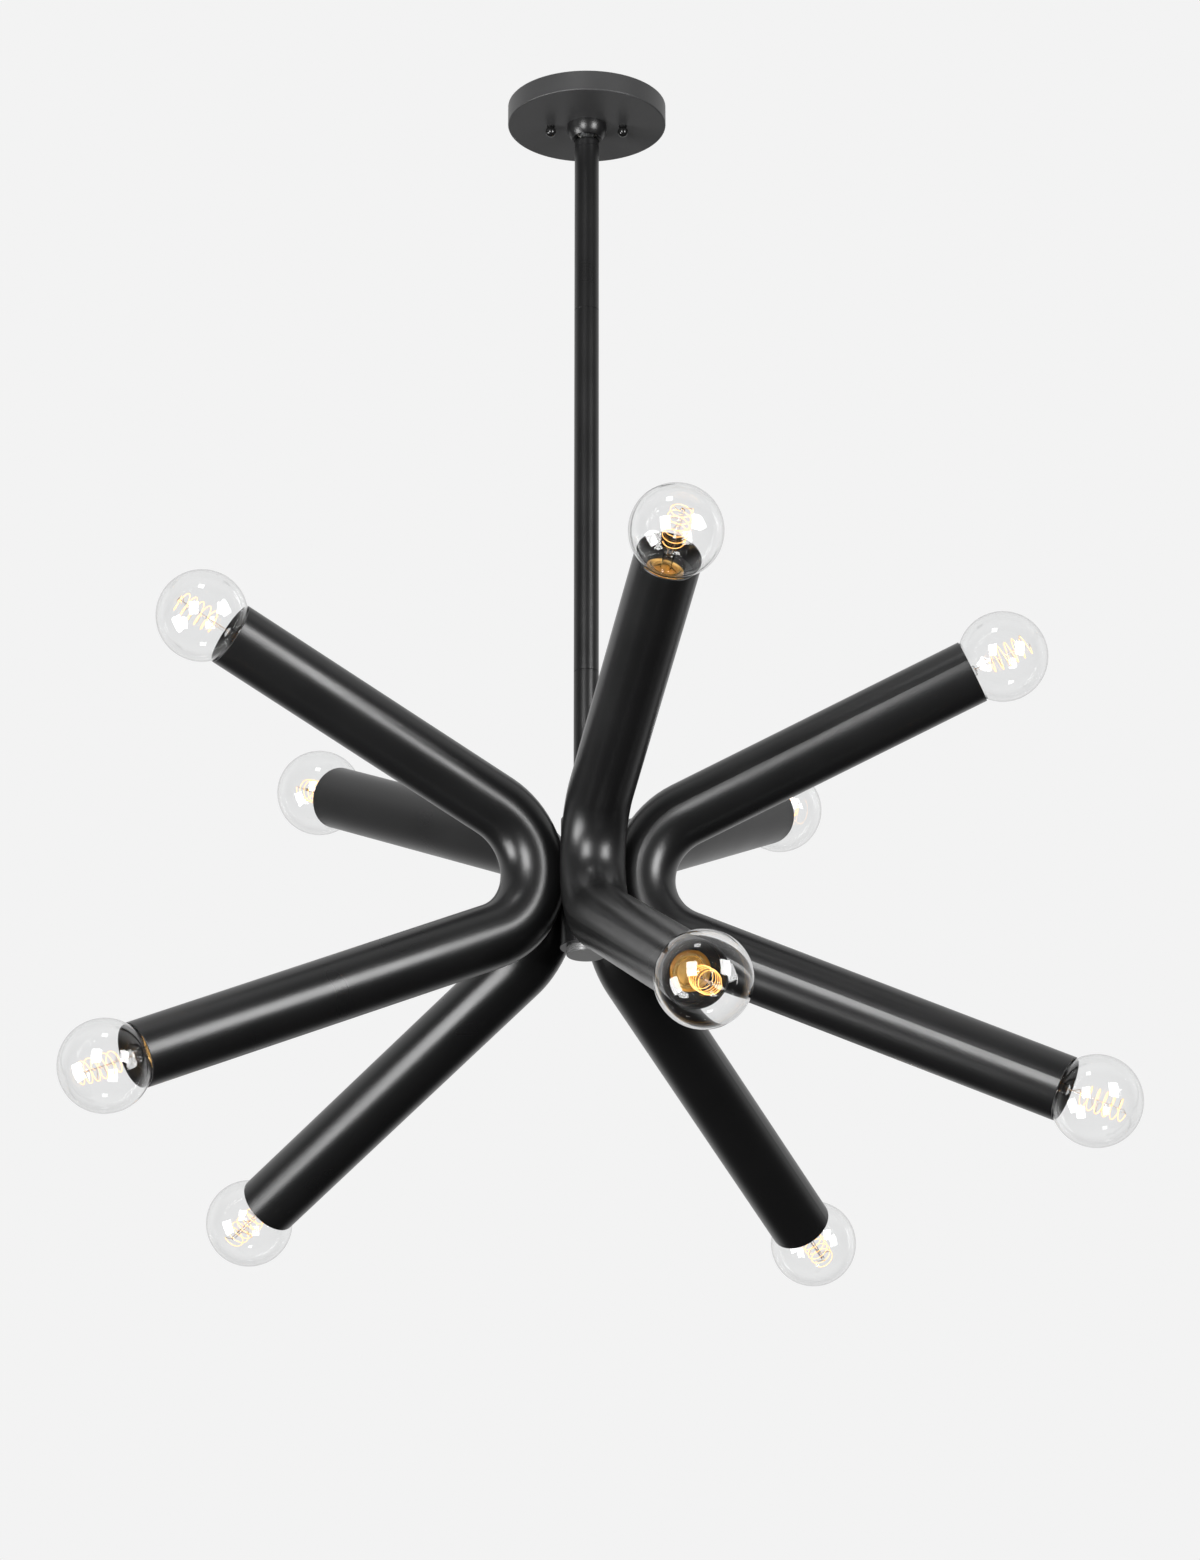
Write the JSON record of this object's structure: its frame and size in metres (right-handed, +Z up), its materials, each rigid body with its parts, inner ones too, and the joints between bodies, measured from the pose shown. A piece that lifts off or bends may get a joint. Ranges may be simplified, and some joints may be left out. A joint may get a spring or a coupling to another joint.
{
  "type": "sputnik chandelier",
  "caption": "Black rod-hung chandelier with bent-tube V arms round a hub and clear globe bulbs with spiral filaments at both arm ends, on a ball swivel canopy.",
  "frame": {"origin": "centre of the crossbar's top face, on the ceiling, midway between its two long slots", "axes": "+Z up to the ceiling, -Y towards the viewer of the picture, +X to the viewer's right"},
  "size_m": [0.9094, 0.8981, 1.0291],
  "materials": {
    "satin_black": "satin powder coat",
    "gloss_black": "gloss",
    "turned_grey": "satin, fine turned grooves",
    "zinc_steel": "zinc plated",
    "brass": "bright",
    "nylon": "moulded",
    "black_phenolic": "moulded",
    "clear_glass": "clear",
    "filament_wire": "glowing wire"
  },
  "bodies": {
    "ceiling_set": {"crossbar": "zinc_steel", "ground_screw": "brass", "canopy_studs": "zinc_steel", "stud_nuts": "zinc_steel", "ball_nuts": "gloss_black", "canopy": "satin_black", "swivel_socket": "satin_black", "swivel_cap": "satin_black"},
    "swivel_ring": {"swivel_seat": "nylon"},
    "pendant": {"arm_1": "satin_black", "arm_2": "satin_black", "arm_3": "satin_black", "arm_4": "satin_black", "arm_5": "satin_black", "arm_nipples": "zinc_steel", "centre_contacts": "brass", "column_base": "satin_black", "column_cap": "satin_black", "finial": "turned_grey", "holder_plates": "satin_black", "hub_column": "satin_black", "lampholders": "black_phenolic", "lock_nuts": "zinc_steel", "screw_shells": "brass", "stem_lower": "satin_black", "stem_middle": "satin_black", "stem_nipples": "zinc_steel", "stem_upper": "satin_black", "swivel_ball": "zinc_steel", "swivel_collar": "satin_black"},
    "bulb_1_upper": {"globe_1_upper": "clear_glass", "bulb_cap_1_upper": "brass", "filament_1_upper": "filament_wire"},
    "bulb_1_lower": {"globe_1_lower": "clear_glass", "bulb_cap_1_lower": "brass", "filament_1_lower": "filament_wire"},
    "bulb_2_upper": {"globe_2_upper": "clear_glass", "bulb_cap_2_upper": "brass", "filament_2_upper": "filament_wire"},
    "bulb_2_lower": {"globe_2_lower": "clear_glass", "bulb_cap_2_lower": "brass", "filament_2_lower": "filament_wire"},
    "bulb_3_upper": {"globe_3_upper": "clear_glass", "bulb_cap_3_upper": "brass", "filament_3_upper": "filament_wire"},
    "bulb_3_lower": {"globe_3_lower": "clear_glass", "bulb_cap_3_lower": "brass", "filament_3_lower": "filament_wire"},
    "bulb_4_upper": {"globe_4_upper": "clear_glass", "bulb_cap_4_upper": "brass", "filament_4_upper": "filament_wire"},
    "bulb_4_lower": {"globe_4_lower": "clear_glass", "bulb_cap_4_lower": "brass", "filament_4_lower": "filament_wire"},
    "bulb_5_upper": {"globe_5_upper": "clear_glass", "bulb_cap_5_upper": "brass", "filament_5_upper": "filament_wire"},
    "bulb_5_lower": {"globe_5_lower": "clear_glass", "bulb_cap_5_lower": "brass", "filament_5_lower": "filament_wire"}
  },
  "joints": [
    {"name": "swivel_turn", "type": "hinge", "parent": "ceiling_set", "child": "swivel_ring", "pos_m": [0, 0, -0.0205], "axis": [0, 0, 1], "range_deg": [-170, 170]},
    {"name": "swivel_lean", "type": "hinge", "parent": "swivel_ring", "child": "pendant", "pos_m": [0, 0, -0.0205], "axis": [1, 0, 0], "range_deg": [-10, 10]},
    {"name": "bulb_1_upper_out", "type": "slide", "parent": "pendant", "child": "bulb_1_upper", "axis": [0.1946, -0.894, 0.4035], "range_m": [0, 0.02]},
    {"name": "bulb_1_lower_out", "type": "slide", "parent": "pendant", "child": "bulb_1_lower", "axis": [0.1999, -0.8847, -0.421], "range_m": [0, 0.02]},
    {"name": "bulb_2_upper_out", "type": "slide", "parent": "pendant", "child": "bulb_2_upper", "axis": [0.8936, -0.1968, 0.4035], "range_m": [0, 0.02]},
    {"name": "bulb_2_lower_out", "type": "slide", "parent": "pendant", "child": "bulb_2_lower", "axis": [0.8873, -0.1881, -0.421], "range_m": [0, 0.02]},
    {"name": "bulb_3_upper_out", "type": "slide", "parent": "pendant", "child": "bulb_3_upper", "axis": [0.4493, 0.7971, 0.4035], "range_m": [0, 0.02]},
    {"name": "bulb_3_lower_out", "type": "slide", "parent": "pendant", "child": "bulb_3_lower", "axis": [0.4366, 0.7951, -0.421], "range_m": [0, 0.02]},
    {"name": "bulb_4_upper_out", "type": "slide", "parent": "pendant", "child": "bulb_4_upper", "axis": [-0.6181, 0.6748, 0.4032], "range_m": [0, 0.02]},
    {"name": "bulb_4_lower_out", "type": "slide", "parent": "pendant", "child": "bulb_4_lower", "axis": [-0.6366, 0.6463, -0.4207], "range_m": [0, 0.02]},
    {"name": "bulb_5_upper_out", "type": "slide", "parent": "pendant", "child": "bulb_5_upper", "axis": [-0.8056, -0.434, 0.4032], "range_m": [0, 0.02]},
    {"name": "bulb_5_lower_out", "type": "slide", "parent": "pendant", "child": "bulb_5_lower", "axis": [-0.8138, -0.401, -0.4207], "range_m": [0, 0.02]}
  ]
}
